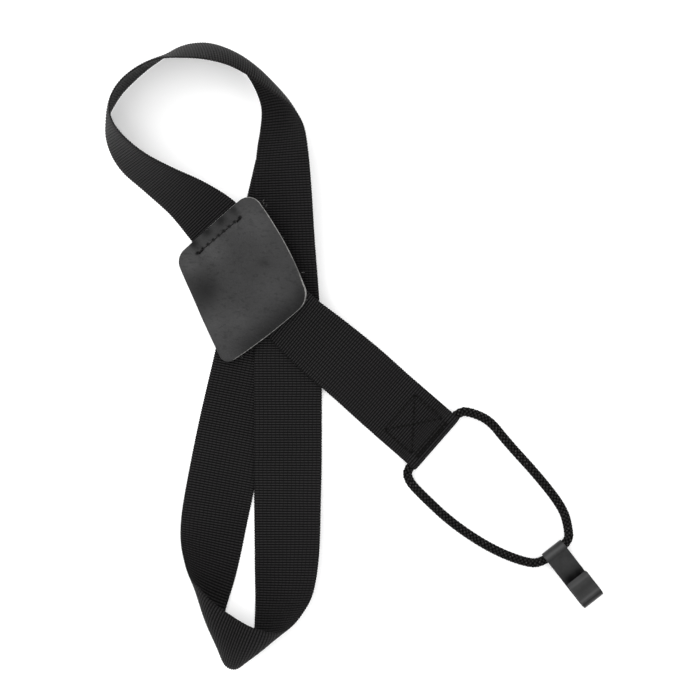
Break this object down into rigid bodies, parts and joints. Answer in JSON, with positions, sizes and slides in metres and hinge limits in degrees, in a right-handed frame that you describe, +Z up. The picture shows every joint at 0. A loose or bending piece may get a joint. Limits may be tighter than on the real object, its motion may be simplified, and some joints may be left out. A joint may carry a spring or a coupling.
{
  "type": "saxophone neck strap",
  "caption": "Neck strap of wide flat webbing with a sewn leather pad, a braided cord loop in its folded end and a flat S hook on the cord.",
  "frame": {"origin": "on the surface the strap lies on, under the middle of the strap and hook", "axes": "+Z up from the surface; +Y from the bottom fold towards the top loop; +X towards the cord and hook"},
  "size_m": [0.2785, 0.3513, 0.0381],
  "materials": {
    "webbing": "ribbed matte weave",
    "leather": "soft semi-matte grain",
    "thread": "matte",
    "cord": "braided, slight sheen",
    "hook": "satin black coating"
  },
  "bodies": {
    "strap": {"webbing_under_pad": "webbing", "webbing_upper_left": "webbing", "webbing_left_turn": "webbing", "webbing_crown": "webbing", "webbing_upper_right": "webbing", "webbing_right_strand": "webbing", "webbing_lower_right_turn": "webbing", "webbing_lower_left_turn": "webbing", "webbing_left_strand": "webbing", "webbing_sewn_end": "webbing", "pad_seam_band": "leather", "pad_stitches": "thread", "end_seam_stitches": "thread"},
    "pad": {"pad_flap": "leather"},
    "tail": {"tail_webbing": "webbing", "tail_folded_end": "webbing", "box_stitches": "thread", "cord_lock_stitches": "thread"},
    "cord_loop": {"cord": "cord"},
    "hook": {"hook": "hook"}
  },
  "joints": [
    {"name": "pad_lift", "type": "hinge", "parent": "strap", "child": "pad", "pos_m": [-0.0722, 0.06765, 0.0178], "axis": [-0.6962, -0.5838, -0.4177], "range_deg": [0, 100]},
    {"name": "tail_fold", "type": "hinge", "parent": "strap", "child": "tail", "pos_m": [-0.01683, 0.00608, 0.01132], "axis": [-0.6275, -0.7343, -0.259], "range_deg": [0, 70]},
    {"name": "cord_swing", "type": "hinge", "parent": "tail", "child": "cord_loop", "pos_m": [0.0433, -0.0459, 0.00445], "axis": [-0.6561, -0.7547, 0], "range_deg": [0, 100]},
    {"name": "hook_swing", "type": "hinge", "parent": "cord_loop", "child": "hook", "pos_m": [0.1124, -0.1089, 0.00405], "axis": [-0.788, -0.6157, 0], "range_deg": [0, 100]}
  ]
}
